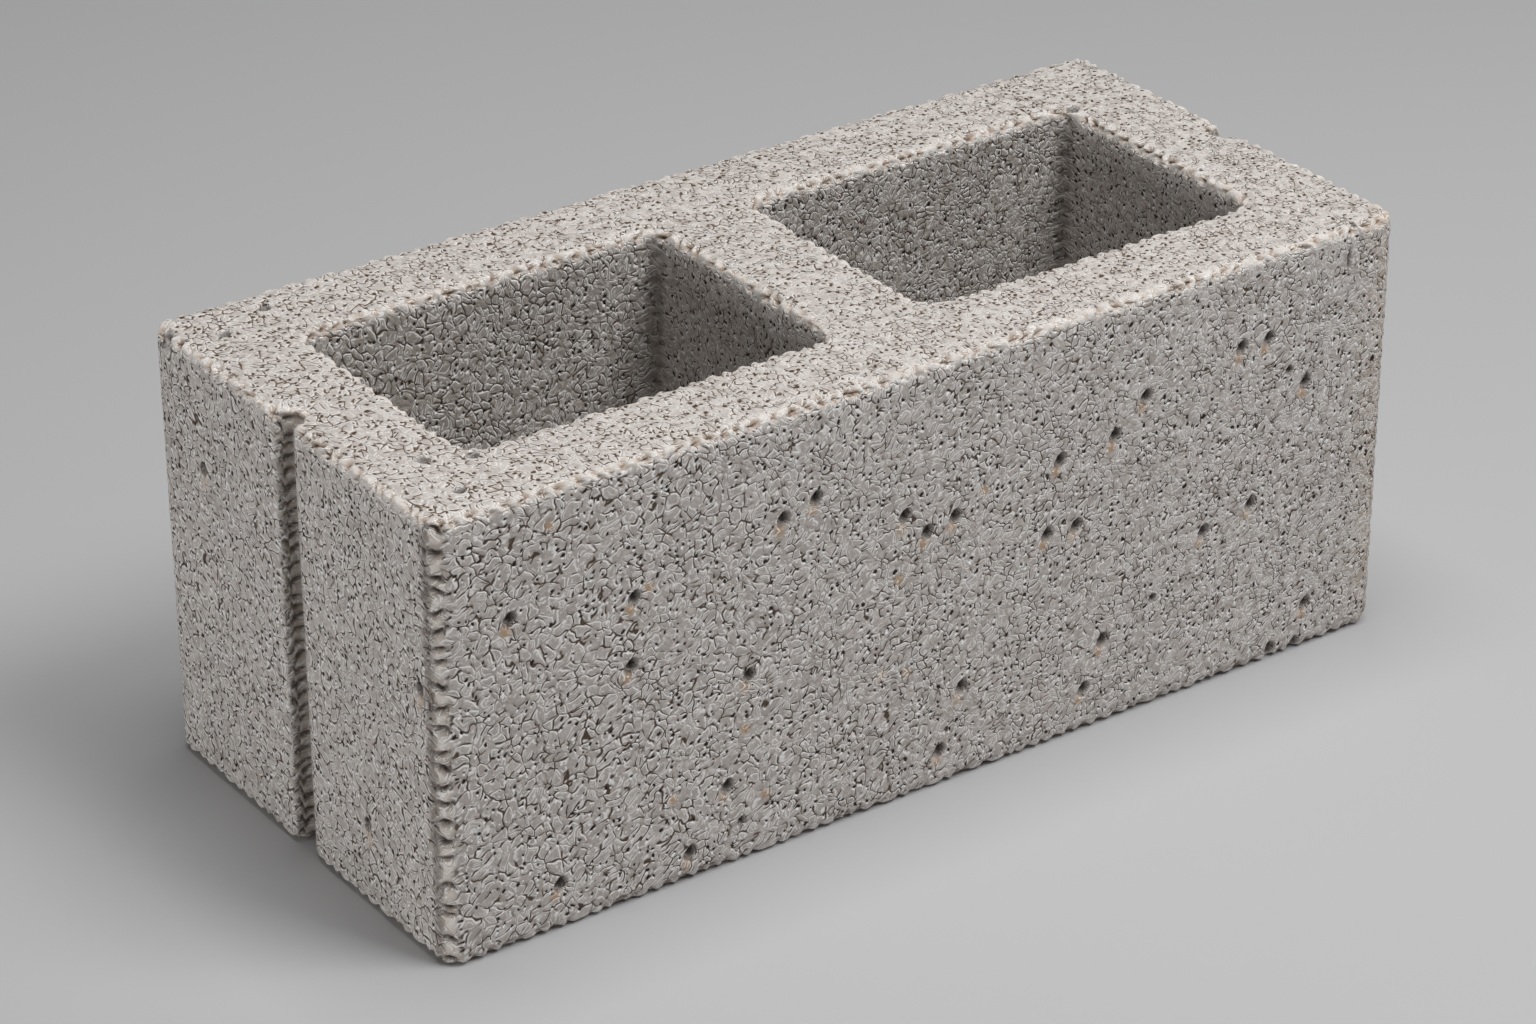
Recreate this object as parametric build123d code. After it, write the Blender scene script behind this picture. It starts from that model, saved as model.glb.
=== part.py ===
"""Two-cell hollow concrete block, cast in one piece and standing on its bed face.

Millimetres. X runs along the block, Y from the front face to the back, and Z is up.
The origin is the middle of the underside.
"""
import os
from math import atan, degrees

from build123d import *

# Overall size of the block
LENGTH = 390.0
WIDTH = 175.0
HEIGHT = 160.0

# Walls round the cells, measured at the top face, where the tapered cores leave them thickest
CELL_COUNT = 2
FACE_SHELL = 37.5
END_WEB = 36.5
MIDDLE_WEB = 39.0

# How far each wall of a cell leans outwards from the top face to the underside, so the core strips
CORE_DRAFT = 1.5

# Upright corners of the block and of its cells, and the worn arris round every bed edge
CORNER_RADIUS = 8.0
CELL_CORNER_RADIUS = 8.0
ARRIS_RADIUS = 2.5

# Upright groove in each end, a little behind the middle: mouth, floor and depth, lips and roots
GROOVE_MOUTH = 9.0
GROOVE_FLOOR = 6.0
GROOVE_DEPTH = 7.0
GROOVE_SET_BACK = 2.5
GROOVE_LIP_RADIUS = 2.0
GROOVE_ROOT_RADIUS = 2.0

# A core runs this far past both of the bed faces that it opens
OVERRUN = 5.0

# Two places nearer than this are one place
SAME_PLACE = 0.001

CUBIC_MM_PER_LITRE = 1e6

# Cells: equal lengths of what the webs leave, one pitch apart
web_total = 2 * END_WEB + (CELL_COUNT - 1) * MIDDLE_WEB
cell_length = (LENGTH - web_total) / CELL_COUNT
cell_width = WIDTH - 2 * FACE_SHELL
cell_pitch = cell_length + MIDDLE_WEB


def groove_bar():
    """Plan of the bar that forms one groove: the mouth lies on the Y axis, the floor at +X."""
    half_mouth = GROOVE_MOUTH / 2
    half_floor = GROOVE_FLOOR / 2
    mouth_back = (0, half_mouth)
    floor_back = (GROOVE_DEPTH, half_floor)
    floor_front = (GROOVE_DEPTH, -half_floor)
    mouth_front = (0, -half_mouth)
    with BuildSketch() as bar:
        with BuildLine():
            Polyline(mouth_back, floor_back, floor_front, mouth_front, close=True)
        make_face()
    return bar.sketch


def groove_corners(plan, depth):
    """The corners of both grooves in a plan that lie this deep in the end."""
    corner_x = LENGTH / 2 - depth
    beside = plan.vertices().filter_by(lambda v: abs(v.Y - GROOVE_SET_BACK) < GROOVE_MOUTH)
    return beside.filter_by(lambda v: abs(abs(v.X) - corner_x) < SAME_PLACE)


def block_plan():
    """Plan of the solid block before the cells: a rounded rectangle with a groove in each end."""
    end_x = LENGTH / 2
    with BuildSketch() as plan:
        RectangleRounded(LENGTH, WIDTH, CORNER_RADIUS)
        with Locations((-end_x, GROOVE_SET_BACK)):
            add(groove_bar(), mode=Mode.SUBTRACT)
        with Locations((end_x, GROOVE_SET_BACK)):
            add(mirror(groove_bar(), about=Plane.YZ), mode=Mode.SUBTRACT)
        fillet(groove_corners(plan, GROOVE_DEPTH), GROOVE_ROOT_RADIUS)
        fillet(groove_corners(plan, 0), GROOVE_LIP_RADIUS)
    return plan.sketch


def core():
    """One tapered core, long enough to pass through both bed faces, at size on the top face."""
    lean_past_bed = CORE_DRAFT * OVERRUN / HEIGHT
    foot_growth = 2 * (CORE_DRAFT + lean_past_bed)
    draft_angle = degrees(atan(CORE_DRAFT / HEIGHT))
    with BuildPart() as bar:
        with BuildSketch(Plane.XY.offset(-OVERRUN)):
            RectangleRounded(
                cell_length + foot_growth,
                cell_width + foot_growth,
                CELL_CORNER_RADIUS + foot_growth / 2,
            )
        extrude(amount=HEIGHT + 2 * OVERRUN, taper=draft_angle)
    return bar.part


# The block: grooved prism, cells struck through it, then the arris rolled round every bed edge
with BuildPart() as hollow_block:
    add(extrude(block_plan(), amount=HEIGHT))
    with GridLocations(cell_pitch, 0, CELL_COUNT, 1):
        add(core(), mode=Mode.SUBTRACT)
    top_edges = hollow_block.faces().sort_by(Axis.Z)[-1].edges()
    bed_edges = hollow_block.faces().sort_by(Axis.Z)[0].edges()
    fillet(top_edges + bed_edges, ARRIS_RADIUS)

os.makedirs("parts", exist_ok=True)
export_step(hollow_block.part, "parts/hollow_block.step")
litres = hollow_block.part.volume / CUBIC_MM_PER_LITRE
print(f"hollow_block: {litres:.3f} litres of concrete")
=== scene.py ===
import math
import bmesh
import bpy
import numpy as np
from mathutils import Matrix, Vector


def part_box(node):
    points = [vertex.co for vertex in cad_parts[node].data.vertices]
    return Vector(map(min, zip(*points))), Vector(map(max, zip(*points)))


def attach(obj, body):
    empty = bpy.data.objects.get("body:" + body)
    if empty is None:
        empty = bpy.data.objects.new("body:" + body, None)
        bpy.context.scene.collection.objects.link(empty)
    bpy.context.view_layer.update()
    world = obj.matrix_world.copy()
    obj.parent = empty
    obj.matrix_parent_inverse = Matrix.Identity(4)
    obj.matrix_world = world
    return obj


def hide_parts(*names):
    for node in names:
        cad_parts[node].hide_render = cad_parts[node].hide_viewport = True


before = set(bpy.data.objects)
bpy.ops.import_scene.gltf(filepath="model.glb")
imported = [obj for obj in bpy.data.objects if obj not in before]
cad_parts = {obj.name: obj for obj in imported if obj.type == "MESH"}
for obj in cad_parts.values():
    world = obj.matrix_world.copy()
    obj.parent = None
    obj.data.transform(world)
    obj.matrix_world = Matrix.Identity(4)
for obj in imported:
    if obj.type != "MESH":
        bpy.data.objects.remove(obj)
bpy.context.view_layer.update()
scene = bpy.context.scene
scene.view_settings.view_transform = "Standard"

# Camera: a long lens a little above the block, turned towards its left end, as in the photograph.
# It is set first, because the block's larger holes are placed by pixels of that picture.
IMAGE_WIDTH = 1536
IMAGE_HEIGHT = 1024
SENSOR_WIDTH = 36.0
LENS = 110.0
VIEW_AZIMUTH = math.radians(-35.385)
VIEW_ELEVATION = math.radians(28.094)
VIEW_ROLL = math.radians(-0.144)
VIEW_DISTANCE = 1.6105
VIEW_SIDE_STEP = -0.0073
AIM_POINT = Vector((0, 0, 0.0664))

view_turn = (
    Matrix.Rotation(VIEW_AZIMUTH, 3, "Z")
    @ Matrix.Rotation(math.pi / 2 - VIEW_ELEVATION, 3, "X")
    @ Matrix.Rotation(VIEW_ROLL, 3, "Z")
)
camera = bpy.data.objects.new("camera", bpy.data.cameras.new("camera"))
camera.data.sensor_width = SENSOR_WIDTH
camera.data.lens = LENS
camera.matrix_world = view_turn.to_4x4()
camera.location = AIM_POINT + view_turn @ Vector((VIEW_SIDE_STEP, 0, VIEW_DISTANCE))
scene.collection.objects.link(camera)
scene.camera = camera


def point_on_face(pixel, axis, place):
    """Where the line of sight through a pixel of the photograph meets the plane axis = place."""
    across = (pixel[0] - IMAGE_WIDTH / 2) / IMAGE_WIDTH * SENSOR_WIDTH / LENS
    down = (pixel[1] - IMAGE_HEIGHT / 2) / IMAGE_WIDTH * SENSOR_WIDTH / LENS
    sight = view_turn @ Vector((across, -down, -1))
    return camera.location + sight * ((place - camera.location[axis]) / sight[axis])


# The block: one piece of dry no-slump concrete, pressed and vibrated into a steel mould and stripped at
# once, so every face is packed stone grains a few millimetres wide with open crevices between them.
# It starts as the CAD solid's own surface, and all of the relief goes inwards from it.
SKIN_MESH = 0.0009
SKIN_INSET = 0.00014
SAME_POINT = 1e-6
TRIANGLES = 190_000

low, high = (np.array(corner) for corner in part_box("hollow_block"))


def settled(piece):
    """Makes a piece's modifiers part of its mesh."""
    graph = bpy.context.evaluated_depsgraph_get()
    done = bpy.data.meshes.new_from_object(
        piece.evaluated_get(graph), preserve_all_data_layers=True, depsgraph=graph
    )
    piece.modifiers.clear()
    piece.data = done


shell = bmesh.new()
shell.from_mesh(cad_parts["hollow_block"].data)
bmesh.ops.remove_doubles(shell, verts=shell.verts, dist=SAME_POINT)
block_mesh = bpy.data.meshes.new("concrete_block")
shell.to_mesh(block_mesh)
shell.free()
block = bpy.data.objects.new("concrete_block", block_mesh)
scene.collection.objects.link(block)
even = block.modifiers.new("even_skin", "REMESH")
even.mode = "VOXEL"
even.voxel_size = SKIN_MESH
settled(block)


def add_node(tree, kind, links=None, **settings):
    """Adds a node with its settings; links gives each input a value or another node's output."""
    made = tree.nodes.new(kind)
    for name, value in settings.items():
        setattr(made, name, value)
    for socket, value in (links or {}).items():
        if isinstance(value, bpy.types.NodeSocket):
            tree.links.new(value, made.inputs[socket])
        else:
            made.inputs[socket].default_value = value
    return made


# Packed grains: flat-topped stones in no straight rows, a little coarser to the left than to the right
GRAIN = 0.0029
GRAIN_DISORDER = 0.85
FINER_PER_METRE = 1.6
DRIFTS = ((0.030, 0.0032), (0.0062, 0.0018), (0.0023, 0.0006))


def among_grains(tree, place):
    """A place after the drifts that bend the packing."""
    along = add_node(tree, "ShaderNodeSeparateXYZ", {0: place}).outputs[0]
    finer = add_node(
        tree, "ShaderNodeMath", {0: along, 1: FINER_PER_METRE, 2: 1.0}, operation="MULTIPLY_ADD"
    ).outputs[0]
    shift = add_node(
        tree, "ShaderNodeMath", {0: along, 1: FINER_PER_METRE / 2, 2: 1.0}, operation="MULTIPLY_ADD"
    ).outputs[0]
    finer = add_node(tree, "ShaderNodeCombineXYZ", {0: shift, 1: finer, 2: finer}).outputs[0]
    bent = add_node(tree, "ShaderNodeVectorMath", {0: place, 1: finer}, operation="MULTIPLY").outputs[0]
    for size, reach in DRIFTS:
        drift = add_node(tree, "ShaderNodeTexNoise", {"Vector": bent, "Scale": 1 / size, "Detail": 0.0})
        centred = add_node(
            tree,
            "ShaderNodeVectorMath",
            {0: drift.outputs["Color"], 1: (0.5, 0.5, 0.5)},
            operation="SUBTRACT",
        )
        bent = add_node(
            tree,
            "ShaderNodeVectorMath",
            {0: centred.outputs[0], 1: (2 * reach,) * 3, 2: bent},
            operation="MULTIPLY_ADD",
        ).outputs[0]
    return bent


# Edges: the mould leaves the grains standing free there, as knobs along the bed edges, and as pebbles one
# on the other up the near corner and in the end grooves.
KNOB_PITCH = 0.0062
KNOB_NOTCH = 0.0030
KNOB_ROUNDNESS = 1.8
KNOB_SET_BACK = 0.0006
ROW_DISORDER = 0.95
EDGE_WAVE = 0.0070
EDGE_BLUR = 9

# Two edges that run side by side lie further apart than this, and their rows are shifted against each other
EDGE_SPACING = 0.03
ROW_SHIFT = 3.7

# Pebbles up the upright corners: x + y says how near a corner is to the front left one, which is worn most
CORNER_PITCH = 0.0070
CORNER_NOTCH = 0.0024
CORNER_BLUR = 2
WEAR_STARTS = -0.200
WEAR_FULL = -0.255
OTHER_CORNERS_WEAR = 0.25
BEAD_ROUNDNESS = 2.2
SEAM_NOTCH = 0.0010
SEAM_STARTS = -0.250
SEAM_FULL = -0.262

# Beads in the grooves: how far in from the end and to each side of the groove's middle they reach
GROOVE_PITCH = 0.0048
GROOVE_NOTCH = 0.0016
GROOVE_SLANT = -0.5
GROOVE_SET_BACK = 0.0025
GROOVE_INSETS = (0.016, 0.010, 0.0035, 0.0005)
GROOVE_REACH = 0.0085
GROOVE_FULL = 0.0065

# The near lip's worn slope, along Y: its start, where it meets the groove, and where it ends inside
LIP_SLOPE = 0.0022
LIP_STARTS = -0.0085
LIP_MEETS = -0.0020
LIP_FADES = -0.0015
LIP_INSET = 0.006
LIP_INSET_FULL = 0.002

# Slow swells that leave no face quite flat
SWELL = 0.00025
SWELL_SIZE = 0.016


def between_knobs(tree, place, along):
    """How near a place is to a gap in a row of knobs: 0 at mid-knob, 1 in the gap; along counts knobs."""
    wave = add_node(tree, "ShaderNodeTexNoise", {"Vector": place, "Scale": 1 / EDGE_WAVE, "Detail": 0.0})
    along = add_node(tree, "ShaderNodeMath", {0: along, 1: wave.outputs["Fac"]}, operation="ADD").outputs[0]
    row = add_node(
        tree,
        "ShaderNodeTexVoronoi",
        {"W": along, "Scale": 1.0, "Randomness": ROW_DISORDER},
        voronoi_dimensions="1D",
        feature="DISTANCE_TO_EDGE",
    )
    return add_node(
        tree, "ShaderNodeMapRange", {"Value": row.outputs["Distance"], "From Min": 0.5, "From Max": 0.0}
    ).outputs[0]


def within(tree, value, band):
    """How well a value lies in a band with four edges: 0 outside the outer two, 1 between the inner two."""
    rise = add_node(tree, "ShaderNodeMapRange", {"Value": value, "From Min": band[0], "From Max": band[1]})
    fall = add_node(tree, "ShaderNodeMapRange", {"Value": value, "From Min": band[3], "From Max": band[2]})
    return add_node(
        tree, "ShaderNodeMath", {0: fall.outputs[0], 1: rise.outputs[0]}, operation="MULTIPLY"
    ).outputs[0]


relief = bpy.data.node_groups.new("concrete_relief", "GeometryNodeTree")
relief.interface.new_socket("Skin", in_out="INPUT", socket_type="NodeSocketGeometry")
relief.interface.new_socket("Relief", in_out="OUTPUT", socket_type="NodeSocketGeometry")
skin = add_node(relief, "NodeGroupInput").outputs[0]
place = add_node(relief, "GeometryNodeInputPosition").outputs[0]
normal = add_node(relief, "GeometryNodeInputNormal").outputs[0]
lean = add_node(relief, "ShaderNodeVectorMath", {0: normal}, operation="ABSOLUTE").outputs[0]
lean_x, lean_y, lean_z = add_node(relief, "ShaderNodeSeparateXYZ", {0: lean}).outputs
spot_x, spot_y, spot_z = add_node(relief, "ShaderNodeSeparateXYZ", {0: place}).outputs

# Knobs along the bed edges, where the surface turns over from bed to wall
turning = within(relief, lean_z, (0.15, 0.35, 0.93, 0.985))
spread = add_node(relief, "GeometryNodeBlurAttribute", {"Value": turning, "Iterations": EDGE_BLUR}).outputs[0]
rim = add_node(
    relief,
    "ShaderNodeMapRange",
    {"Value": spread, "From Min": 0.04, "From Max": 0.4},
    interpolation_type="SMOOTHSTEP",
).outputs[0]
edge_x = add_node(relief, "GeometryNodeBlurAttribute", {"Value": lean_x, "Iterations": EDGE_BLUR}).outputs[0]
edge_y = add_node(relief, "GeometryNodeBlurAttribute", {"Value": lean_y, "Iterations": EDGE_BLUR}).outputs[0]
crosswise = add_node(relief, "ShaderNodeMath", {0: edge_x, 1: edge_y}, operation="GREATER_THAN").outputs[0]
along_edge = add_node(relief, "ShaderNodeMix", {0: crosswise, 2: spot_x, 3: spot_y}).outputs[0]
which_edge = add_node(relief, "ShaderNodeMix", {0: crosswise, 2: spot_y, 3: spot_x}).outputs[0]
which_edge = add_node(relief, "ShaderNodeMath", {0: which_edge, 1: EDGE_SPACING}, operation="SNAP").outputs[0]
along_edge = add_node(
    relief, "ShaderNodeMath", {0: which_edge, 1: ROW_SHIFT, 2: along_edge}, operation="MULTIPLY_ADD"
).outputs[0]
along_edge = add_node(relief, "ShaderNodeMath", {0: along_edge, 1: KNOB_PITCH}, operation="DIVIDE").outputs[0]
knob_gap = between_knobs(relief, place, along_edge)
knob_gap = add_node(relief, "ShaderNodeMath", {0: knob_gap, 1: KNOB_ROUNDNESS}, operation="POWER").outputs[0]
set_back = add_node(
    relief, "ShaderNodeTexNoise", {"Vector": place, "Scale": 0.6 / EDGE_WAVE, "Detail": 0.0}
).outputs["Fac"]
torn = add_node(
    relief,
    "ShaderNodeMapRange",
    {"Value": set_back, "From Min": 0.35, "From Max": 0.65, "To Min": 0.45, "To Max": 1.15},
).outputs[0]
for part in (torn, rim):
    knob_gap = add_node(relief, "ShaderNodeMath", {0: knob_gap, 1: part}, operation="MULTIPLY").outputs[0]
knob_sink = add_node(
    relief, "ShaderNodeMath", {0: set_back, 1: KNOB_SET_BACK}, operation="MULTIPLY"
).outputs[0]
knob_sink = add_node(relief, "ShaderNodeMath", {0: knob_sink, 1: rim}, operation="MULTIPLY").outputs[0]
knob_sink = add_node(
    relief, "ShaderNodeMath", {0: knob_gap, 1: KNOB_NOTCH, 2: knob_sink}, operation="MULTIPLY_ADD"
).outputs[0]

# Beads up the corners: the near one has lost the most paste
upright = add_node(relief, "ShaderNodeMath", {0: lean_x, 1: lean_y}, operation="MINIMUM").outputs[0]
cornering = add_node(
    relief, "ShaderNodeMapRange", {"Value": upright, "From Min": 0.36, "From Max": 0.54}
).outputs[0]
corner = add_node(
    relief, "GeometryNodeBlurAttribute", {"Value": cornering, "Iterations": CORNER_BLUR}
).outputs[0]
towards = add_node(relief, "ShaderNodeMath", {0: spot_x, 1: spot_y}, operation="ADD").outputs[0]
loss = add_node(
    relief,
    "ShaderNodeMapRange",
    {"Value": towards, "From Min": WEAR_STARTS, "From Max": WEAR_FULL, "To Min": OTHER_CORNERS_WEAR},
).outputs[0]
worn_corner = add_node(relief, "ShaderNodeMath", {0: corner, 1: loss}, operation="MULTIPLY").outputs[0]

# Beads on the walls of the end grooves
end_way = add_node(relief, "ShaderNodeMath", {0: spot_x}, operation="ABSOLUTE").outputs[0]
groove = within(relief, end_way, [high[0] - inset for inset in GROOVE_INSETS])
beside = add_node(relief, "ShaderNodeMath", {0: spot_y, 1: GROOVE_SET_BACK}, operation="SUBTRACT").outputs[0]
beside = add_node(relief, "ShaderNodeMath", {0: beside}, operation="ABSOLUTE").outputs[0]
in_groove = add_node(
    relief, "ShaderNodeMapRange", {"Value": beside, "From Min": GROOVE_REACH, "From Max": GROOVE_FULL}
).outputs[0]
on_wall = add_node(
    relief, "ShaderNodeMapRange", {"Value": lean_z, "From Min": 0.5, "From Max": 0.2}
).outputs[0]
for part in (in_groove, on_wall):
    groove = add_node(relief, "ShaderNodeMath", {0: groove, 1: part}, operation="MULTIPLY").outputs[0]
beaded = add_node(relief, "ShaderNodeMath", {0: worn_corner, 1: groove}, operation="MAXIMUM").outputs[0]
up_corner = add_node(relief, "ShaderNodeMath", {0: spot_z, 1: CORNER_PITCH}, operation="DIVIDE").outputs[0]
up_groove = add_node(
    relief, "ShaderNodeMath", {0: spot_x, 1: GROOVE_SLANT, 2: spot_z}, operation="MULTIPLY_ADD"
).outputs[0]
up_groove = add_node(relief, "ShaderNodeMath", {0: up_groove, 1: GROOVE_PITCH}, operation="DIVIDE").outputs[0]
up_row = add_node(relief, "ShaderNodeMix", {0: groove, 2: up_corner, 3: up_groove}).outputs[0]
between = between_knobs(relief, place, up_row)
bead_gap = add_node(relief, "ShaderNodeMath", {0: between, 1: BEAD_ROUNDNESS}, operation="POWER").outputs[0]
notch = add_node(relief, "ShaderNodeMix", {0: groove, 2: CORNER_NOTCH, 3: GROOVE_NOTCH}).outputs[0]
bead_sink = add_node(relief, "ShaderNodeMath", {0: bead_gap, 1: notch}, operation="MULTIPLY").outputs[0]
bead_sink = add_node(relief, "ShaderNodeMath", {0: bead_sink, 1: beaded}, operation="MULTIPLY").outputs[0]

# The near lip of each groove is worn to a soft slope
slope = add_node(
    relief, "ShaderNodeMapRange", {"Value": spot_y, "From Min": LIP_STARTS, "From Max": LIP_MEETS}
).outputs[0]
slope = add_node(relief, "ShaderNodeMath", {0: slope, 1: 2.0}, operation="POWER").outputs[0]
slope_end = add_node(
    relief, "ShaderNodeMapRange", {"Value": spot_y, "From Min": 0.0, "From Max": LIP_FADES}
).outputs[0]
at_end = add_node(
    relief,
    "ShaderNodeMapRange",
    {"Value": end_way, "From Min": high[0] - LIP_INSET, "From Max": high[0] - LIP_INSET_FULL},
).outputs[0]
for part in (slope_end, at_end):
    slope = add_node(relief, "ShaderNodeMath", {0: slope, 1: part}, operation="MULTIPLY").outputs[0]

# An open seam between the near corner's beads and the end face
seam_in = add_node(
    relief, "ShaderNodeMapRange", {"Value": lean_y, "From Min": 0.04, "From Max": 0.15}
).outputs[0]
seam_out = add_node(
    relief, "ShaderNodeMapRange", {"Value": lean_y, "From Min": 0.5, "From Max": 0.3}
).outputs[0]
seam_side = add_node(
    relief, "ShaderNodeMapRange", {"Value": lean_x, "From Min": 0.6, "From Max": 0.85}
).outputs[0]
seam = add_node(
    relief, "ShaderNodeMapRange", {"Value": towards, "From Min": SEAM_STARTS, "From Max": SEAM_FULL}
).outputs[0]
for part in (seam_in, seam_out, seam_side):
    seam = add_node(relief, "ShaderNodeMath", {0: seam, 1: part}, operation="MULTIPLY").outputs[0]
seam = add_node(relief, "ShaderNodeMath", {0: seam, 1: bead_gap}, operation="MULTIPLY").outputs[0]

# Everything sinks along the normal, and the material reads where from the mesh
swell = add_node(relief, "ShaderNodeTexNoise", {"Vector": place, "Scale": 1 / SWELL_SIZE}).outputs["Fac"]
sunk = add_node(relief, "ShaderNodeMath", {0: knob_sink, 1: bead_sink}, operation="MAXIMUM").outputs[0]
for part, reach in ((seam, SEAM_NOTCH), (slope, LIP_SLOPE), (swell, SWELL)):
    sunk = add_node(
        relief, "ShaderNodeMath", {0: part, 1: reach, 2: sunk}, operation="MULTIPLY_ADD"
    ).outputs[0]
sunk = add_node(relief, "ShaderNodeMath", {0: sunk, 1: SKIN_INSET}, operation="ADD").outputs[0]
inward = add_node(relief, "ShaderNodeMath", {0: sunk, 1: -1.0}, operation="MULTIPLY").outputs[0]
move = add_node(relief, "ShaderNodeVectorMath", {0: normal, "Scale": inward}, operation="SCALE").outputs[0]
noted = skin
notes = (
    ("rim", rim),
    ("knob_gap", knob_gap),
    ("corner", corner),
    ("beaded", beaded),
    ("between", between),
    ("groove", groove),
    ("slope", slope),
    ("seam", seam),
)
for name, value in notes:
    noted = add_node(
        relief, "GeometryNodeStoreNamedAttribute", {"Geometry": noted, "Name": name, "Value": value}
    ).outputs[0]
moved = add_node(relief, "GeometryNodeSetPosition", {"Geometry": noted, "Offset": move}).outputs[0]
add_node(relief, "NodeGroupOutput", {0: moved})
sink = block.modifiers.new("relief", "NODES")
sink.node_group = relief
settled(block)

# Bug holes: air caught against the mould leaves slanted pockets, deep at the upper right and running out
# at the lower left over a tan sand grain. Each one is placed by its pixel in the photograph.
HOLE_LENGTH = 0.0070
HOLE_WIDTH = 0.0048
HOLE_DEPTH = 0.0060
TAN_STEP = 0.0038
TAN_SPREAD = 0.0017
TAN_FADE = 1.6
SLIT_LENGTH = 0.0110
SLIT_WIDTH = 0.0018
WALL_STEEPNESS = 2.5
BRIM_FULL = 3.4
FLOOR_MIDDLE = 0.55
FLOOR_RISE = 0.60
SHADE_MIDDLE = 0.75
SHADE_FALL = 0.45
SURFACE_PLAY = 0.002
KEPT_FINE = 0.9
FRONT_HOLES = (
    (510, 622), (635, 600), (632, 668), (750, 677), (817, 500), (784, 521), (906, 518), (928, 534),
    (956, 518), (1077, 527), (1048, 536), (1061, 462), (1103, 641), (1084, 690), (962, 688), (940, 752),
    (1243, 349), (1270, 340), (1306, 383), (1147, 398), (1116, 437), (1251, 505), (1204, 533),
    (1305, 604), (691, 854), (561, 886), (728, 788),
)
SMALL_FRONT_HOLES = ((1290, 371), (1153, 599), (742, 822))
FOOT_CHIPS = ((1270, 650), (1295, 644))
END_HOLES = ((203, 470), (419, 690), (367, 825))
TOP_HOLES = ((264, 307), (224, 333), (166, 331), (472, 454), (459, 489), (423, 459), (1073, 107))
FRONT_SLITS = ((1350, 262),)
TOP_SLITS = ((1355, 222),)
TAN_GRAINS = (
    (550, 527), (650, 588), (986, 491), (882, 676), (907, 673), (900, 581), (746, 729), (673, 800),
    (767, 793),
)
FRONT = (1, low[1], (0, -1, 0))
END = (0, low[0], (-1, 0, 0))
TOP = (2, high[2], (0, 0, 1))
FRONT_RUN = (-0.45, 0, -0.89)
TOP_RUN = (-0.85, -0.52, 0)
DOWN = (0, 0, -1)
TOP_SLIT_RUN = (0.38, -0.92, 0)

# Pixels, face, way the hole runs out, its length, width and depth, how tan its lip is, and how far the
# painted
# shade fills it: the ends' holes show a side wall only, so the painted shade in them comes up to the brim
hole_kinds = (
    (FRONT_HOLES, FRONT, FRONT_RUN, HOLE_LENGTH, HOLE_WIDTH, HOLE_DEPTH, 1.0, WALL_STEEPNESS),
    (
        SMALL_FRONT_HOLES, FRONT, FRONT_RUN,
        0.6 * HOLE_LENGTH, 0.7 * HOLE_WIDTH, 0.6 * HOLE_DEPTH, 0.0, WALL_STEEPNESS,
    ),
    (FOOT_CHIPS, FRONT, DOWN, HOLE_LENGTH, HOLE_WIDTH, 0.8 * HOLE_DEPTH, 0.0, WALL_STEEPNESS),
    (END_HOLES, END, DOWN, 0.8 * HOLE_LENGTH, 0.8 * HOLE_WIDTH, 0.5 * HOLE_DEPTH, 0.8, BRIM_FULL),
    (TOP_HOLES, TOP, TOP_RUN, 0.8 * HOLE_LENGTH, HOLE_WIDTH, 0.4 * HOLE_DEPTH, 0.0, WALL_STEEPNESS),
    (FRONT_SLITS, FRONT, DOWN, SLIT_LENGTH, SLIT_WIDTH, 0.5 * HOLE_DEPTH, 0.0, WALL_STEEPNESS),
    (TOP_SLITS, TOP, TOP_SLIT_RUN, SLIT_LENGTH, SLIT_WIDTH, 0.4 * HOLE_DEPTH, 0.0, WALL_STEEPNESS),
    (TAN_GRAINS, FRONT, FRONT_RUN, 0.8 * HOLE_LENGTH, HOLE_WIDTH, 0.05 * HOLE_DEPTH, 1.0, WALL_STEEPNESS),
)
holes = []
for pixels, (axis, plane, outward), run, length, width, depth, tan, fill in hole_kinds:
    outward = np.array(outward)
    run = np.array(run) / np.linalg.norm(run)
    across = np.cross(outward, run)
    for pixel in pixels:
        middle = np.array(point_on_face(pixel, axis, plane))
        holes.append((middle, run, across, outward, length, width, depth, tan, fill))

# Finer faces round each hole
centres = np.empty(3 * len(block.data.polygons), np.float32)
block.data.polygons.foreach_get("center", centres)
centres = centres.reshape(-1, 3)
near = np.zeros(len(centres), bool)
for middle, run, across, outward, length, width, depth, tan, fill in holes:
    near |= np.linalg.norm(centres - middle, axis=1) < length
fine = bmesh.new()
fine.from_mesh(block.data)
fine.faces.ensure_lookup_table()
round_holes = {edge for index in np.flatnonzero(near) for edge in fine.faces[index].edges}
bmesh.ops.subdivide_edges(fine, edges=list(round_holes), cuts=1, use_grid_fill=True)
fine.to_mesh(block.data)
fine.free()

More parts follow.
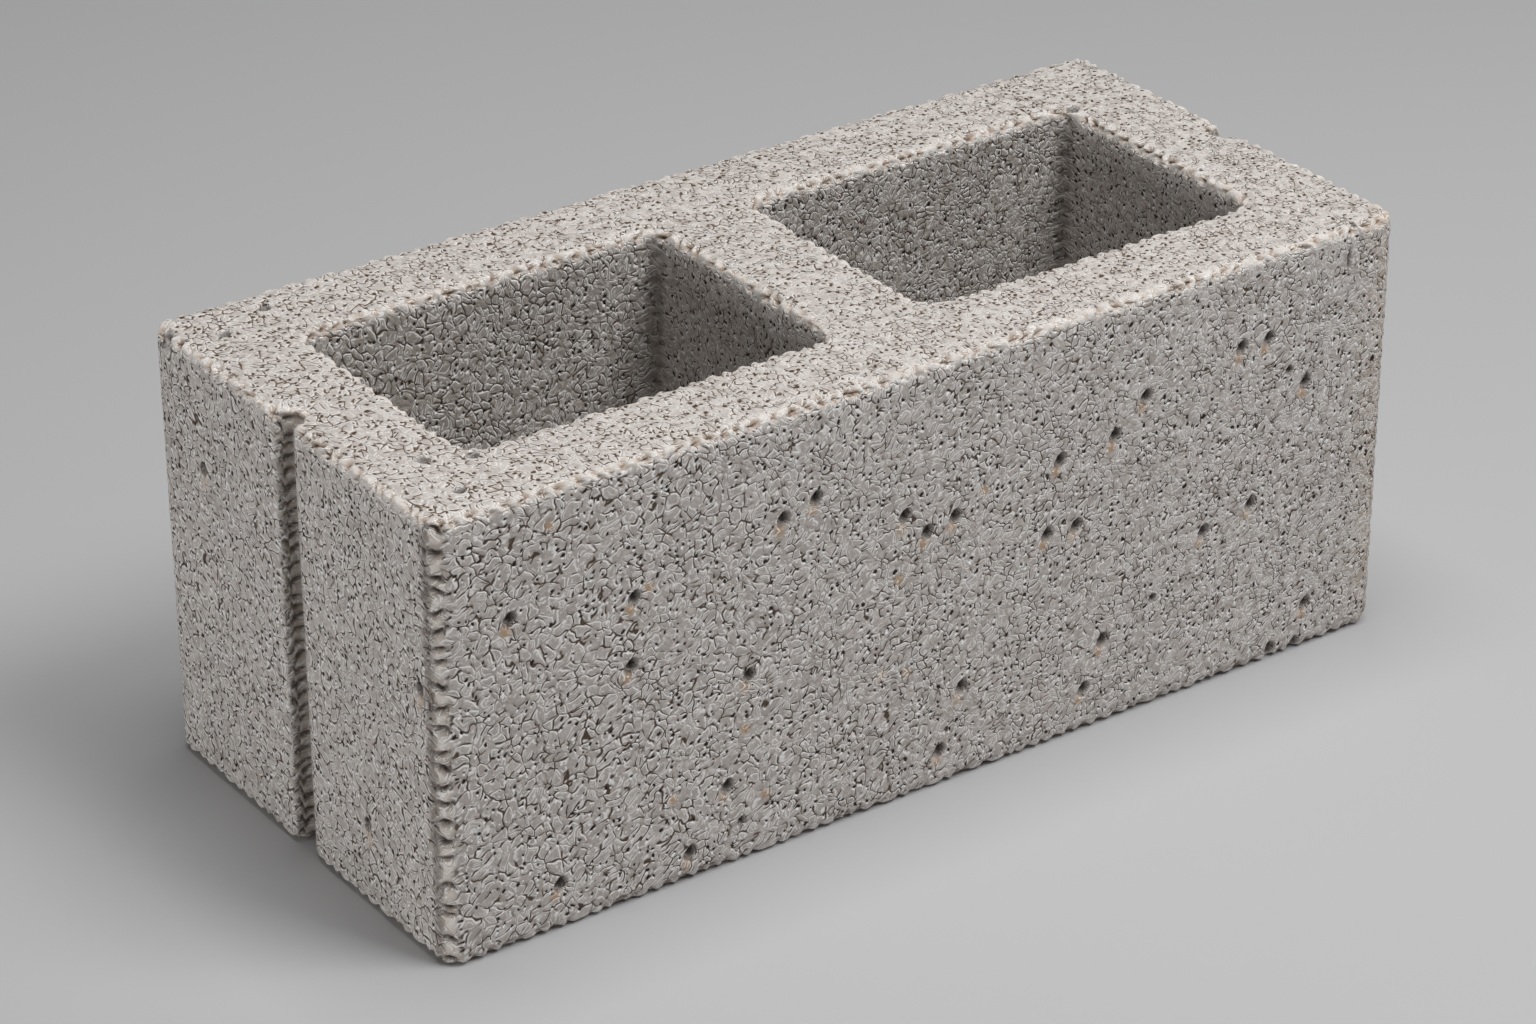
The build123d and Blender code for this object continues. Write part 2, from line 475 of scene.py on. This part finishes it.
points = np.empty(3 * len(block.data.vertices), np.float32)
block.data.vertices.foreach_get("co", points)
points = points.reshape(-1, 3).astype(float)
sunk = np.zeros_like(points)
painted_hole_shade = np.zeros(len(points), np.float32)
sand = np.zeros(len(points), np.float32)
kept = np.zeros(len(points), bool)
for middle, run, across, outward, length, width, depth, tan, fill in holes:
    away = points - middle
    flat = np.abs(away @ outward) < 2 * depth + SURFACE_PLAY
    along = away @ run / (length / 2)
    aside = away @ across / (width / 2)
    from_middle = along**2 + aside**2
    inside = np.clip(WALL_STEEPNESS - WALL_STEEPNESS * from_middle, 0, 1) * flat
    ramp = np.clip(FLOOR_MIDDLE - FLOOR_RISE * along, 0, 1)
    sunk -= outward * (depth * inside * ramp)[:, None]
    # Painted shade in the hole, darkest at its deep upper end and fading down the ramp
    shade = np.clip(SHADE_MIDDLE - SHADE_FALL * along, 0, 1) * min(1.0, 2 * depth / HOLE_DEPTH)
    filled = np.clip(fill - WALL_STEEPNESS * from_middle, 0, 1) * flat
    painted_hole_shade = np.maximum(painted_hole_shade, filled * shade)
    lip = away - run * (TAN_STEP if depth > 0.3 * HOLE_DEPTH else 0.0)
    spread = np.linalg.norm(lip, axis=1) / TAN_SPREAD
    sand = np.maximum(sand, tan * np.clip(TAN_FADE - spread, 0, 1))
    kept |= np.linalg.norm(away, axis=1) < KEPT_FINE * length
points += sunk
block.data.vertices.foreach_set("co", points.astype(np.float32).ravel())
for name, values in (("hole", painted_hole_shade), ("tan", sand)):
    block.data.attributes.new(name, "FLOAT", "POINT").data.foreach_set("value", values.astype(np.float32))
block.data.update()

# Thinned where it is flat, but not at the holes, and kept inside the solid's box
may_thin = block.vertex_groups.new(name="may_thin")
may_thin.add(np.flatnonzero(~kept).tolist(), 1.0, "REPLACE")
thin = block.modifiers.new("thin", "DECIMATE")
thin.vertex_group = "may_thin"
thin.ratio = TRIANGLES / (2 * len(block.data.polygons))
thin.use_collapse_triangulate = True
settled(block)
block.vertex_groups.clear()
points = np.empty(3 * len(block.data.vertices), np.float32)
block.data.vertices.foreach_get("co", points)
points = np.clip(points.reshape(-1, 3), low, high)
block.data.vertices.foreach_set("co", points.astype(np.float32).ravel())
block.data.update()
block.data.shade_smooth()


def linear(colour):
    """An sRGB hex colour as linear red, green, blue and alpha."""
    parts = [int(colour[i : i + 2], 16) / 255 for i in (1, 3, 5)]
    return tuple(c / 12.92 if c <= 0.04045 else ((c + 0.055) / 1.055) ** 2.4 for c in parts) + (1.0,)


# Vibrated concrete: cement paste only glues the grains, so the eye sees warm grey stones with thin brown
# crevices round some of them, partly dirt and partly painted shade, painted highlight arcs along others,
# pinholes painted dark as shade with a painted highlight under some, painted glints and a gritty matt skin.
# The mould wipes the ends and the cells' side walls a little flatter than the beds and the front.
PLATE_EDGE = 0.0007
PLATE_HEIGHT = 0.00020
CROWN_REACH = 0.0016
CROWN_HEIGHT = 0.00020
CROWN_ROUNDNESS = 1.6
CREVICE = 0.00024
ARC_BAND = (0.00020, 0.00034, 0.00050, 0.00070)
RING_BAND = (0.00080, 0.00095, 0.00105, 0.00120)
PASTE_PATCH = 0.0026
BARE_PATCH = 0.028
BARE_SWING = 0.16
MORE_PASTE_PER_METRE = 0.12
PINHOLE_PITCH = 0.0026
PINHOLE = 0.00060
PINHOLE_WOBBLE = 0.0022
PINHOLE_DEPTH = 0.00030
PINHOLE_SHARE = 0.28
PINHOLES_MORE_ON_SIDES = 0.12
PINHOLES_MORE_ON_BEDS = 0.14
GLINT_SHARE = 0.18
GLINT_STEP = (0.0003, 0.0010, 0)
GLINTS_ABOVE = 0.90
DIAGONAL = 0.707

# The sand is finer than this; it is drawn a millimetre wide so that it shows
GRIT = 0.0010
GRIT_HEIGHT = 0.00010

# The cells lie within these distances of the middle; each pair is where a shade starts and where it is full
CELL_WALL_Y = (0.066, 0.058)
CELL_WALL_X = (0.180, 0.170)

# The front's upright edges: tan on the right, by x - y, and painted shade on the end side of the left one, by
# x + y
TAN_EDGE = (0.262, 0.278)
CORNER_SHADE_BAND = (-0.268, -0.273)

concrete = bpy.data.materials.new("vibrated_concrete")
concrete.use_nodes = True
tree = concrete.node_tree
tree.nodes.clear()
place = add_node(tree, "ShaderNodeTexCoord").outputs["Object"]
noted_names = [name for name, value in notes] + ["hole", "tan"]
rim, knob_gap, corner, beaded, between, groove, slope, seam, hole, tan = (
    add_node(tree, "ShaderNodeAttribute", attribute_name=name).outputs["Fac"] for name in noted_names
)
facing = add_node(tree, "ShaderNodeNewGeometry").outputs["True Normal"]
facing = add_node(tree, "ShaderNodeVectorMath", {0: facing}, operation="ABSOLUTE").outputs[0]
facing_x, facing_y, facing_z = add_node(tree, "ShaderNodeSeparateXYZ", {0: facing}).outputs
side = add_node(tree, "ShaderNodeMapRange", {"Value": facing_x, "From Min": 0.6, "From Max": 0.9}).outputs[0]
bed = add_node(tree, "ShaderNodeMapRange", {"Value": facing_z, "From Min": 0.6, "From Max": 0.9}).outputs[0]
spot_x, spot_y = add_node(tree, "ShaderNodeSeparateXYZ", {0: place}).outputs[:2]
on_side = add_node(tree, "ShaderNodeMath", {0: facing_x, 1: DIAGONAL}, operation="GREATER_THAN").outputs[0]
on_bed = add_node(tree, "ShaderNodeMath", {0: facing_z, 1: DIAGONAL}, operation="GREATER_THAN").outputs[0]


def in_face(tree, place):
    """A place laid out flat in the plane of the face that it is on, apart from the face across from it."""
    x, y, z = add_node(tree, "ShaderNodeSeparateXYZ", {0: place}).outputs
    x_y = add_node(tree, "ShaderNodeMath", {0: x, 1: y}, operation="ADD").outputs[0]
    x_z = add_node(tree, "ShaderNodeMath", {0: x, 1: z}, operation="ADD").outputs[0]
    y_z = add_node(tree, "ShaderNodeMath", {0: y, 1: z}, operation="ADD").outputs[0]
    across = add_node(tree, "ShaderNodeMix", {0: on_bed, 2: x_y, 3: x_z}).outputs[0]
    upward = add_node(tree, "ShaderNodeMix", {0: on_side, 2: y_z, 3: x_z}).outputs[0]
    return add_node(tree, "ShaderNodeCombineXYZ", {0: across, 1: upward}).outputs[0]


packing = in_face(tree, among_grains(tree, place))
gap = add_node(
    tree,
    "ShaderNodeTexVoronoi",
    {"Vector": packing, "Scale": 1 / GRAIN, "Randomness": GRAIN_DISORDER},
    voronoi_dimensions="2D",
    feature="DISTANCE_TO_EDGE",
).outputs["Distance"]
gap = add_node(tree, "ShaderNodeMath", {0: gap, 1: GRAIN}, operation="MULTIPLY").outputs[0]

# Texture fades on the smooth knobs and beads, in the holes and on the sand grains
smooth = add_node(tree, "ShaderNodeMath", {0: hole, 1: tan}, operation="MAXIMUM").outputs[0]
for part in (rim, beaded):
    smooth = add_node(tree, "ShaderNodeMath", {0: smooth, 1: part}, operation="MAXIMUM").outputs[0]
grainy = add_node(tree, "ShaderNodeMapRange", {"Value": smooth, "To Min": 1.0, "To Max": 0.12}).outputs[0]

# Crevices, closed with paste here and there and in whole patches, more of them towards the right; their
# brown is partly dirt and partly painted shade
paste = add_node(tree, "ShaderNodeTexNoise", {"Vector": place, "Scale": 1 / PASTE_PATCH, "Detail": 0.0})
paste = add_node(tree, "ShaderNodeSeparateXYZ", {0: paste.outputs["Color"]}).outputs
bare = add_node(
    tree, "ShaderNodeTexNoise", {"Vector": place, "Scale": 1 / BARE_PATCH, "Detail": 0.0}
).outputs["Fac"]
bare = add_node(
    tree, "ShaderNodeMath", {0: bare, 1: -BARE_SWING, 2: BARE_SWING / 2}, operation="MULTIPLY_ADD"
).outputs[0]
bare = add_node(
    tree, "ShaderNodeMath", {0: spot_x, 1: -MORE_PASTE_PER_METRE, 2: bare}, operation="MULTIPLY_ADD"
).outputs[0]
open_here = add_node(tree, "ShaderNodeMath", {0: paste[0], 1: bare}, operation="ADD").outputs[0]
crevice_open = add_node(
    tree, "ShaderNodeMapRange", {"Value": open_here, "From Min": 0.51, "From Max": 0.56}
).outputs[0]
crevice_dirt_and_shade = add_node(
    tree,
    "ShaderNodeMapRange",
    {"Value": gap, "From Min": CREVICE, "From Max": 0.45 * CREVICE},
    interpolation_type="SMOOTHSTEP",
).outputs[0]
for part in (crevice_open, grainy):
    crevice_dirt_and_shade = add_node(tree, "ShaderNodeMath", {0: crevice_dirt_and_shade, 1: part}, operation="MULTIPLY").outputs[0]
bed_crevice_dirt_and_shade = add_node(tree, "ShaderNodeMath", {0: crevice_dirt_and_shade, 1: bed}, operation="MULTIPLY").outputs[0]

# Painted highlight arcs, pale bands standing in for light on the grains' edges: one just inside some
# crevices, one further in on other stones
arc_patch = add_node(
    tree, "ShaderNodeMapRange", {"Value": paste[2], "From Min": 0.42, "From Max": 0.46}
).outputs[0]
arc = within(tree, gap, ARC_BAND)
arc = add_node(tree, "ShaderNodeMath", {0: arc, 1: arc_patch}, operation="MULTIPLY").outputs[0]
ring_patch = add_node(
    tree, "ShaderNodeMapRange", {"Value": paste[1], "From Min": 0.50, "From Max": 0.56, "To Max": 0.7}
).outputs[0]
ring = within(tree, gap, RING_BAND)
ring = add_node(tree, "ShaderNodeMath", {0: ring, 1: ring_patch}, operation="MULTIPLY").outputs[0]
highlight_arcs = add_node(tree, "ShaderNodeMath", {0: arc, 1: ring}, operation="MAXIMUM").outputs[0]
wiped = add_node(tree, "ShaderNodeMapRange", {"Value": side, "To Min": 1.0, "To Max": 0.8}).outputs[0]
arcs_on_beds = add_node(tree, "ShaderNodeMapRange", {"Value": bed, "To Min": 1.0, "To Max": 0.6}).outputs[0]
for part in (wiped, arcs_on_beds):
    highlight_arcs = add_node(tree, "ShaderNodeMath", {0: highlight_arcs, 1: part}, operation="MULTIPLY").outputs[0]

# Pinholes, painted dark as the shade in them, and painted glints share one scatter: some points are holes,
# some glints and most are neither. A painted highlight lies just under some of the holes, on the lip that
# would catch light.
wobble = add_node(
    tree, "ShaderNodeTexNoise", {"Vector": place, "Scale": 1 / PINHOLE_WOBBLE, "Detail": 0.0}
).outputs["Color"]
strewn = add_node(
    tree, "ShaderNodeVectorMath", {0: wobble, 1: (2 * PINHOLE,) * 3, 2: place}, operation="MULTIPLY_ADD"
).outputs[0]
strewn = in_face(tree, strewn)
scatter = add_node(
    tree,
    "ShaderNodeTexVoronoi",
    {"Vector": strewn, "Scale": 1 / PINHOLE_PITCH},
    voronoi_dimensions="2D",
    feature="F1",
)
lot, girth = add_node(tree, "ShaderNodeSeparateXYZ", {0: scatter.outputs["Color"]}).outputs[:2]
girth = add_node(tree, "ShaderNodeMapRange", {"Value": girth, "To Min": 0.6, "To Max": 1.4}).outputs[0]
reach = add_node(
    tree, "ShaderNodeMath", {0: scatter.outputs["Distance"], 1: PINHOLE_PITCH / PINHOLE}, operation="MULTIPLY"
).outputs[0]
reach = add_node(tree, "ShaderNodeMath", {0: reach, 1: girth}, operation="DIVIDE").outputs[0]
dot = add_node(tree, "ShaderNodeMapRange", {"Value": reach, "From Min": 1.0, "From Max": 0.65}).outputs[0]
hole_share = PINHOLE_SHARE
for face, more in ((side, PINHOLES_MORE_ON_SIDES), (bed, PINHOLES_MORE_ON_BEDS)):
    hole_share = add_node(
        tree, "ShaderNodeMath", {0: face, 1: more, 2: hole_share}, operation="MULTIPLY_ADD"
    ).outputs[0]
is_hole = add_node(tree, "ShaderNodeMath", {0: lot, 1: hole_share}, operation="LESS_THAN").outputs[0]
# Pinholes painted dark: painted shade in them
pinhole_shade = is_hole
for part in (dot, grainy):
    pinhole_shade = add_node(tree, "ShaderNodeMath", {0: pinhole_shade, 1: part}, operation="MULTIPLY").outputs[0]
bed_pinhole_shade = add_node(tree, "ShaderNodeMath", {0: pinhole_shade, 1: bed}, operation="MULTIPLY").outputs[0]
on_beds = add_node(tree, "ShaderNodeMapRange", {"Value": bed, "To Min": 1.0, "To Max": 0.3}).outputs[0]
# Painted glints at a few scatter points, fewer on the beds
painted_glint = add_node(tree, "ShaderNodeMath", {0: lot, 1: GLINTS_ABOVE}, operation="GREATER_THAN").outputs[0]
for part in (dot, on_beds):
    painted_glint = add_node(tree, "ShaderNodeMath", {0: painted_glint, 1: part}, operation="MULTIPLY").outputs[0]
# Painted highlights on the lip just under some pinholes, from a second scatter stepped down a little
under = add_node(tree, "ShaderNodeVectorMath", {0: strewn, 1: GLINT_STEP}, operation="ADD").outputs[0]
glint_scatter = add_node(
    tree,
    "ShaderNodeTexVoronoi",
    {"Vector": under, "Scale": 1 / PINHOLE_PITCH},
    voronoi_dimensions="2D",
    feature="F1",
)
glint_lot = add_node(tree, "ShaderNodeSeparateXYZ", {0: glint_scatter.outputs["Color"]}).outputs[0]
glint_reach = add_node(
    tree, "ShaderNodeMath", {0: glint_scatter.outputs["Distance"], 1: PINHOLE_PITCH / PINHOLE}, operation="MULTIPLY"
).outputs[0]
glint_dot = add_node(
    tree, "ShaderNodeMapRange", {"Value": glint_reach, "From Min": 1.0, "From Max": 0.65}
).outputs[0]
lip = add_node(tree, "ShaderNodeMath", {0: glint_lot, 1: GLINT_SHARE}, operation="LESS_THAN").outputs[0]
for part in (glint_dot, on_beds, grainy):
    lip = add_node(tree, "ShaderNodeMath", {0: lip, 1: part}, operation="MULTIPLY").outputs[0]

# Edges: knobs with a painted highlight, tan sides and painted shade in their notches, beads with painted
# highlights on their caps and painted shade in their gaps, and painted shade in the grooves, on their near
# lips, along the seam and down the end side of the near corner
knob_highlight = add_node(tree, "ShaderNodeMath", {0: rim, 1: 0.6}, operation="MULTIPLY").outputs[0]
knob_side = add_node(
    tree, "ShaderNodeMapRange", {"Value": knob_gap, "From Min": 0.1, "From Max": 0.4, "To Max": 0.6}
).outputs[0]
# Painted shade in the notches between the knobs
knob_notch_shade = add_node(
    tree,
    "ShaderNodeMapRange",
    {"Value": knob_gap, "From Min": 0.35, "From Max": 0.75, "To Max": 0.85},
    interpolation_type="SMOOTHSTEP",
).outputs[0]
# Painted shade in the gaps between the beads
bead_gap = add_node(
    tree,
    "ShaderNodeMapRange",
    {"Value": between, "From Min": 0.62, "From Max": 0.92, "To Max": 0.95},
    interpolation_type="SMOOTHSTEP",
).outputs[0]
softer = add_node(tree, "ShaderNodeMapRange", {"Value": groove, "To Min": 1.0, "To Max": 0.55}).outputs[0]
strength = add_node(tree, "ShaderNodeMath", {0: beaded, 1: softer}, operation="MULTIPLY").outputs[0]
bead_gap = add_node(tree, "ShaderNodeMath", {0: bead_gap, 1: strength}, operation="MULTIPLY").outputs[0]
# Painted highlight on the beads' caps
bead_cap_highlight = add_node(
    tree, "ShaderNodeMapRange", {"Value": between, "From Min": 0.5, "From Max": 0.15, "To Max": 0.8}
).outputs[0]
bead_cap_highlight = add_node(tree, "ShaderNodeMath", {0: bead_cap_highlight, 1: strength}, operation="MULTIPLY").outputs[0]
rust = add_node(tree, "ShaderNodeMath", {0: beaded, 1: 0.3}, operation="MULTIPLY").outputs[0]
groove_shade = add_node(tree, "ShaderNodeMath", {0: groove, 1: slope}, operation="MAXIMUM").outputs[0]
groove_shade = add_node(tree, "ShaderNodeMath", {0: groove_shade, 1: 0.5}, operation="MULTIPLY").outputs[0]
seam_shade = add_node(tree, "ShaderNodeMath", {0: seam, 1: 0.8}, operation="MULTIPLY").outputs[0]
# Painted shade down the end side of the near corner
towards = add_node(tree, "ShaderNodeMath", {0: spot_x, 1: spot_y}, operation="ADD").outputs[0]
corner_side_shade = add_node(
    tree,
    "ShaderNodeMapRange",
    {"Value": towards, "From Min": CORNER_SHADE_BAND[0], "From Max": CORNER_SHADE_BAND[1], "To Max": 0.5},
).outputs[0]
turned = add_node(
    tree, "ShaderNodeMapRange", {"Value": facing_x, "From Min": 0.80, "From Max": 0.88}
).outputs[0]
off_end = add_node(
    tree, "ShaderNodeMapRange", {"Value": facing_y, "From Min": 0.1, "From Max": 0.2}
).outputs[0]
for part in (turned, off_end):
    corner_side_shade = add_node(tree, "ShaderNodeMath", {0: corner_side_shade, 1: part}, operation="MULTIPLY").outputs[0]

# Cells: painted shade makes them darker than the outside, most of all in their corners, and less on their
# side walls
depth_way = add_node(tree, "ShaderNodeMath", {0: spot_y}, operation="ABSOLUTE").outputs[0]
in_cell = add_node(
    tree,
    "ShaderNodeMapRange",
    {"Value": depth_way, "From Min": CELL_WALL_Y[0], "From Max": CELL_WALL_Y[1], "To Max": 0.45},
).outputs[0]
length_way = add_node(tree, "ShaderNodeMath", {0: spot_x}, operation="ABSOLUTE").outputs[0]
in_length = add_node(
    tree,
    "ShaderNodeMapRange",
    {"Value": length_way, "From Min": CELL_WALL_X[0], "From Max": CELL_WALL_X[1]},
).outputs[0]
off_bed = add_node(tree, "ShaderNodeMapRange", {"Value": bed, "To Min": 1.0, "To Max": 0.0}).outputs[0]
cell_wall = in_cell
for part in (in_length, off_bed):
    cell_wall = add_node(tree, "ShaderNodeMath", {0: cell_wall, 1: part}, operation="MULTIPLY").outputs[0]
cell_corner_shade = add_node(tree, "ShaderNodeMath", {0: cell_wall, 1: corner}, operation="MULTIPLY").outputs[0]
wall_shade_share = add_node(tree, "ShaderNodeMapRange", {"Value": side, "To Min": 0.9, "To Max": 0.25}).outputs[0]
cell_shade = add_node(tree, "ShaderNodeMath", {0: cell_wall, 1: wall_shade_share}, operation="MULTIPLY").outputs[0]
far_edge = add_node(tree, "ShaderNodeMath", {0: spot_x, 1: spot_y}, operation="SUBTRACT").outputs[0]
far_edge = add_node(
    tree,
    "ShaderNodeMapRange",
    {"Value": far_edge, "From Min": TAN_EDGE[0], "From Max": TAN_EDGE[1], "To Max": 0.4},
).outputs[0]

# Colour, from the stones outwards: each coat covers the ones before it by its share
grit = add_node(tree, "ShaderNodeTexNoise", {"Vector": place, "Scale": 1 / GRIT, "Detail": 1.0})
grit = grit.outputs["Fac"]
stones = add_node(
    tree,
    "ShaderNodeTexVoronoi",
    {"Vector": packing, "Scale": 1 / GRAIN, "Randomness": GRAIN_DISORDER},
    voronoi_dimensions="2D",
    feature="F1",
)
tone = add_node(tree, "ShaderNodeSeparateXYZ", {0: stones.outputs["Color"]}).outputs[0]
colour = add_node(
    tree, "ShaderNodeMix", {0: tone, 6: linear("#BEB6B0"), 7: linear("#D3CBC5")}, data_type="RGBA"
).outputs[2]
dust = add_node(
    tree, "ShaderNodeMapRange", {"Value": grit, "From Min": 0.7, "From Max": 0.3, "To Max": 0.5}
).outputs[0]
hole_shade = add_node(
    tree, "ShaderNodeMapRange", {"Value": hole, "From Min": 0.1, "From Max": 0.9, "To Max": 0.95}
).outputs[0]
# Among the coats, the knobs, bead caps, pale arcs, glints and pinhole lips are painted highlights; the cells,
# knob notches, corner side, grooves, bead gaps, seam, bug holes and pinholes get painted shade; the crevices
# are partly dirt and partly painted shade
coats = (
    (dust, "#A9A19B"),
    (cell_shade, "#8F867E"),
    (knob_highlight, "#E2DBD4"),
    (knob_side, "#A88A6E"),
    (rust, "#B09880"),
    (far_edge, "#BBA58E"),
    (bead_cap_highlight, "#EDE5DC"),
    (tan, "#BDA084"),
    (highlight_arcs, "#F4F2EF"),
    (painted_glint, "#F6F5F3"),
    (crevice_dirt_and_shade, "#57473A"),
    (bed_crevice_dirt_and_shade, "#6B5848"),
    (pinhole_shade, "#2C211A"),
    (bed_pinhole_shade, "#5A4330"),
    (lip, "#FFFFFF"),
    (cell_corner_shade, "#6B645E"),
    (groove_shade, "#5E554D"),
    (knob_notch_shade, "#4E4035"),
    (corner_side_shade, "#5A4A3C"),
    (bead_gap, "#35281F"),
    (seam_shade, "#4A3C30"),
    (hole_shade, "#2E2824"),
)
for share, coat in coats:
    colour = add_node(
        tree, "ShaderNodeMix", {0: share, 6: colour, 7: linear(coat)}, data_type="RGBA"
    ).outputs[2]

# Relief too fine for the mesh, in metres: plates with bevelled edges and a slight crown, pinholes and grit
bevel = add_node(
    tree,
    "ShaderNodeMapRange",
    {"Value": gap, "From Min": PLATE_EDGE, "From Max": 0.0},
    interpolation_type="SMOOTHSTEP",
).outputs[0]
bevel_open = add_node(
    tree, "ShaderNodeMapRange", {"Value": open_here, "From Min": 0.44, "From Max": 0.52}
).outputs[0]
bevel = add_node(tree, "ShaderNodeMath", {0: bevel, 1: bevel_open}, operation="MULTIPLY").outputs[0]
crown = add_node(
    tree, "ShaderNodeMapRange", {"Value": gap, "From Min": CROWN_REACH, "From Max": 0.0}
).outputs[0]
crown = add_node(tree, "ShaderNodeMath", {0: crown, 1: CROWN_ROUNDNESS}, operation="POWER").outputs[0]
pit = add_node(tree, "ShaderNodeMapRange", {"Value": reach, "From Min": 1.5, "From Max": 0.5}).outputs[0]
pit = add_node(tree, "ShaderNodeMath", {0: pit, 1: is_hole}, operation="MULTIPLY").outputs[0]
height = add_node(tree, "ShaderNodeMath", {0: grit, 1: GRIT_HEIGHT}, operation="MULTIPLY").outputs[0]
for drop, depth in ((bevel, PLATE_HEIGHT), (crown, CROWN_HEIGHT), (pit, PINHOLE_DEPTH)):
    height = add_node(
        tree, "ShaderNodeMath", {0: drop, 1: -depth, 2: height}, operation="MULTIPLY_ADD"
    ).outputs[0]
for part in (wiped, grainy):
    height = add_node(tree, "ShaderNodeMath", {0: height, 1: part}, operation="MULTIPLY").outputs[0]
rough = add_node(tree, "ShaderNodeBump", {"Height": height, "Distance": 1.0, "Strength": 1.0}).outputs[0]
surface = add_node(
    tree,
    "ShaderNodeBsdfPrincipled",
    {"Base Color": colour, "Roughness": 0.85, "Specular IOR Level": 0.35, "Normal": rough},
).outputs[0]
add_node(tree, "ShaderNodeOutputMaterial", {0: surface})
block.data.materials.clear()
block.data.materials.append(concrete)
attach(block, "root")
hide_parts("hollow_block")

# Floor and light: a plain pale floor, matt and much wider than the picture, under broad soft lamps overhead,
# in front and to the left, with a little fill all round.
FLOOR_REACH = 20.0
FLOOR_COLOUR = "#BEBEBF"
FLOOR_ROUGHNESS = 0.9
FILL = 0.11

floor_mesh = bpy.data.meshes.new("floor")
sweep = bmesh.new()
bmesh.ops.create_grid(sweep, x_segments=1, y_segments=1, size=FLOOR_REACH)
sweep.to_mesh(floor_mesh)
sweep.free()
floor = bpy.data.objects.new("floor", floor_mesh)
scene.collection.objects.link(floor)
floor_paint = bpy.data.materials.new("floor_paint")
floor_paint.use_nodes = True
paint = floor_paint.node_tree.nodes["Principled BSDF"]
paint.inputs["Base Color"].default_value = linear(FLOOR_COLOUR)
paint.inputs["Roughness"].default_value = FLOOR_ROUGHNESS
floor_mesh.materials.append(floor_paint)

world = bpy.data.worlds.new("world")
scene.world = world
world.use_nodes = True
air = world.node_tree.nodes["Background"]
air.inputs["Color"].default_value = (1, 1, 1, 1)
air.inputs["Strength"].default_value = FILL

# Name, place, width in metres and power in watts
LAMPS = (
    ("top_light", (0, 0, 1.8), 0.8, 13.2),
    ("front_light", (0.5, -0.85, 1.7), 0.8, 20.3),
    ("end_light", (-2.2, 0, 0.20), 0.35, 10.8),
)
for name, spot, size, power in LAMPS:
    lamp = bpy.data.lights.new(name, "AREA")
    lamp.size = size
    lamp.energy = power
    stand = bpy.data.objects.new(name, lamp)
    stand.location = spot
    stand.rotation_euler = (Vector(spot) - AIM_POINT).to_track_quat("Z", "Y").to_euler()
    scene.collection.objects.link(stand)
